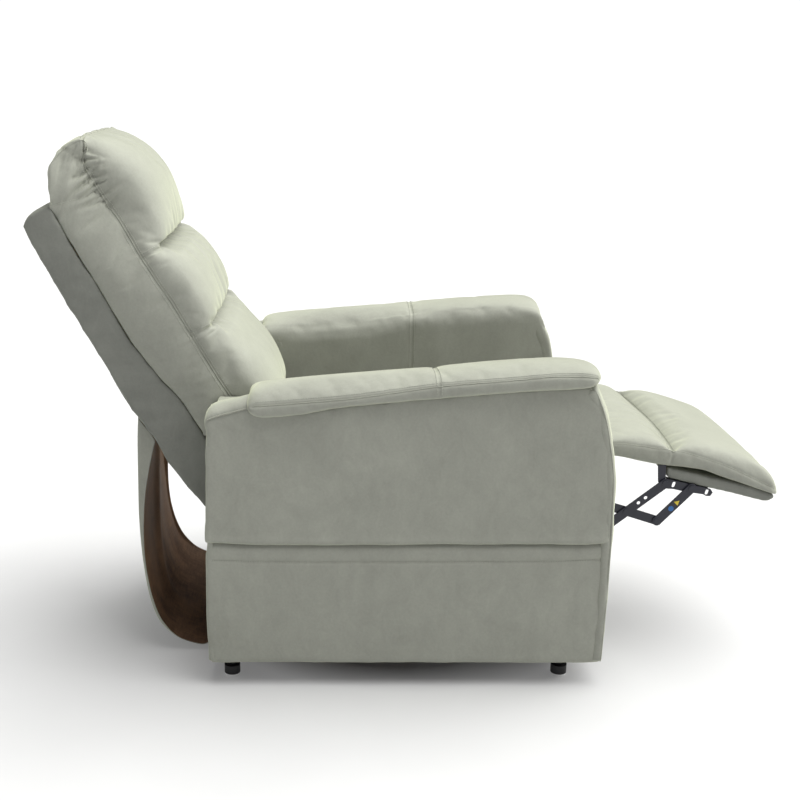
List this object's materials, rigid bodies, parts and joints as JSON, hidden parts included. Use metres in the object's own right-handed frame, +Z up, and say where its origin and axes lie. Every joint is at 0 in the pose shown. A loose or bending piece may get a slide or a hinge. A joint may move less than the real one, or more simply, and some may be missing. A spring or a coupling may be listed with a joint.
{
  "type": "lift recliner chair",
  "caption": "Powered lift recliner shown half reclined: lobed back, pillow arms, chaise footrest on a steel linkage, floor base with lift arms.",
  "frame": {"origin": "centre of the bounding box, at floor level", "axes": "+Z up; -Y the way the sitter faces; +X towards the sitter's left"},
  "size_m": [0.846, 1.6, 1.146],
  "materials": {
    "upholstery": "matt micro-suede weave, grey-green",
    "lining": "plain brown woven lining",
    "dark_steel": "satin dark navy-black powder coat",
    "zinc_steel": "bright zinc",
    "timber": "bare plywood and softwood",
    "webbing": "elastic webbing",
    "black_plastic": "fine texture black",
    "button_plastic": "light grey"
  },
  "bodies": {
    "base": {"base_rails": "dark_steel", "base_tubes": "dark_steel", "base_brackets": "dark_steel", "lift_motor_bracket": "dark_steel", "glide_feet": "black_plastic", "glide_discs": "zinc_steel", "power_supply": "black_plastic", "power_inlet": "black_plastic"},
    "lift": {"lift_arms": "dark_steel", "lift_cross_tube": "dark_steel"},
    "guide": {"guide_links": "dark_steel"},
    "lift_motor_unit": {"lift_motor": "black_plastic"},
    "lift_rod_unit": {"lift_rod": "zinc_steel"},
    "carriage": {"hangers": "dark_steel", "seat_tubes": "dark_steel", "seat_plates": "dark_steel", "seat_rivets": "zinc_steel", "seat_cross_rails": "timber", "seat_webbing": "webbing", "actuator_rail": "dark_steel", "back_motor_bracket": "dark_steel", "seat_cushion": "upholstery", "side_panel_left": "upholstery", "side_panel_right": "upholstery", "apron_left": "upholstery", "apron_right": "upholstery", "arm_pad_left": "upholstery", "arm_pad_right": "upholstery", "arm_linings": "upholstery", "arm_fronts": "upholstery", "arm_rears": "lining", "arm_frames": "timber", "rear_skirt": "lining", "handset_pocket": "upholstery"},
    "ottoman": {"footrest_pad": "upholstery", "footrest_board": "upholstery", "footrest_risers": "timber", "footrest_brackets": "dark_steel", "footrest_rivets": "zinc_steel", "calf_pad": "upholstery"},
    "long_link": {"links_long": "dark_steel"},
    "front_link": {"links_front": "dark_steel"},
    "cross_link": {"links_cross": "dark_steel"},
    "rear_link": {"links_rear": "dark_steel"},
    "back": {"back_sides": "upholstery", "back_brackets": "dark_steel", "outside_back": "upholstery", "back_top_rail": "upholstery", "back_deck": "timber", "back_low_panel": "lining", "back_low_rail": "timber", "back_lug": "dark_steel", "back_cushion": "upholstery"},
    "back_motor_unit": {"back_motor": "black_plastic"},
    "back_rod_unit": {"back_rod": "zinc_steel"},
    "handset_unit": {"handset": "black_plastic"},
    "button_unit_back_recline": {"button_back_recline": "button_plastic"},
    "button_unit_back_raise": {"button_back_raise": "button_plastic"},
    "button_unit_lift_up": {"button_lift_up": "button_plastic"},
    "button_unit_lift_down": {"button_lift_down": "button_plastic"}
  },
  "joints": [
    {"name": "lift_arm_pivot", "type": "hinge", "parent": "base", "child": "lift", "pos_m": [0, -0.195, 0.075], "axis": [1, 0, 0], "range_deg": [0, 60]},
    {"name": "seat_tilt", "type": "hinge", "parent": "lift", "child": "carriage", "pos_m": [0, 0.105, 0.075], "axis": [1, 0, 0], "range_deg": [-34.05, 0.05]},
    {"name": "guide_link_pivot", "type": "hinge", "parent": "base", "child": "guide", "pos_m": [0, -0.2189, 0.0933], "axis": [1, 0, 0], "range_deg": [-0.05, 61.62]},
    {"name": "lift_motor_pivot", "type": "hinge", "parent": "base", "child": "lift_motor_unit", "pos_m": [0, 0.34, 0.085], "axis": [1, 0, 0], "range_deg": [-2.59, 0.05]},
    {"name": "lift_rod_slide", "type": "slide", "parent": "lift_motor_unit", "child": "lift_rod_unit", "axis": [0, -0.9973, 0.0735], "range_m": [-0.0005, 0.07199]},
    {"name": "footrest_swing", "type": "hinge", "parent": "carriage", "child": "ottoman", "pos_m": [0, -0.48, 0.465], "axis": [1, 0, 0], "range_deg": [0, 78], "deforming": ["calf_pad"]},
    {"name": "long_link_pivot", "type": "hinge", "parent": "ottoman", "child": "long_link", "pos_m": [0, -0.556, 0.401], "axis": [1, 0, 0], "range_deg": [-102.96, 0.05]},
    {"name": "front_link_pivot", "type": "hinge", "parent": "ottoman", "child": "front_link", "pos_m": [0, -0.614, 0.39], "axis": [1, 0, 0], "range_deg": [-108.22, 0.05]},
    {"name": "cross_link_pivot", "type": "hinge", "parent": "carriage", "child": "cross_link", "pos_m": [0, -0.3798, 0.3999], "axis": [1, 0, 0], "range_deg": [-0.05, 52.36]},
    {"name": "rear_link_pivot", "type": "hinge", "parent": "carriage", "child": "rear_link", "pos_m": [0, -0.3233, 0.3177], "axis": [1, 0, 0], "range_deg": [-0.05, 55.77]},
    {"name": "back_recline", "type": "hinge", "parent": "carriage", "child": "back", "pos_m": [0, 0.315, 0.42], "axis": [-1, 0, 0], "range_deg": [-20, 12], "deforming": ["rear_skirt"]},
    {"name": "back_motor_pivot", "type": "hinge", "parent": "carriage", "child": "back_motor_unit", "pos_m": [0, -0.06, 0.322], "axis": [1, 0, 0], "range_deg": [-0.8, 1.3]},
    {"name": "back_rod_slide", "type": "slide", "parent": "back_motor_unit", "child": "back_rod_unit", "axis": [0, 0.9988, 0.0499], "range_m": [-0.01658, 0.0273]},
    {"name": "handset_lift_out", "type": "slide", "parent": "carriage", "child": "handset_unit", "axis": [0, 0, 1], "range_m": [0, 0.07]},
    {"name": "press_back_recline", "type": "slide", "parent": "handset_unit", "child": "button_unit_back_recline", "axis": [-1, 0, 0], "range_m": [0, 0.001], "stiffness_N_per_m": 600, "springref_m": -0.0004},
    {"name": "press_back_raise", "type": "slide", "parent": "handset_unit", "child": "button_unit_back_raise", "axis": [-1, 0, 0], "range_m": [0, 0.001], "stiffness_N_per_m": 600, "springref_m": -0.0004},
    {"name": "press_lift_up", "type": "slide", "parent": "handset_unit", "child": "button_unit_lift_up", "axis": [-1, 0, 0], "range_m": [0, 0.001], "stiffness_N_per_m": 600, "springref_m": -0.0004},
    {"name": "press_lift_down", "type": "slide", "parent": "handset_unit", "child": "button_unit_lift_down", "axis": [-1, 0, 0], "range_m": [0, 0.001], "stiffness_N_per_m": 600, "springref_m": -0.0004}
  ],
  "couplings": [
    {"joint": "seat_tilt", "follows": "lift_arm_pivot", "ratio": -0.56667},
    {"joint": "guide_link_pivot", "follows": "lift_arm_pivot", "ratio": 1.0261},
    {"joint": "lift_motor_pivot", "follows": "lift_arm_pivot", "ratio": -0.042399},
    {"joint": "lift_rod_slide", "follows": "lift_arm_pivot", "m_per_rad": 0.068267},
    {"joint": "long_link_pivot", "follows": "footrest_swing", "ratio": -1.3193},
    {"joint": "front_link_pivot", "follows": "footrest_swing", "ratio": -1.3868},
    {"joint": "cross_link_pivot", "follows": "footrest_swing", "ratio": 0.67061},
    {"joint": "rear_link_pivot", "follows": "footrest_swing", "ratio": 0.71442},
    {"joint": "back_motor_pivot", "follows": "back_recline", "ratio": -0.062686},
    {"joint": "back_rod_slide", "follows": "back_recline", "m_per_rad": -0.07677}
  ]
}
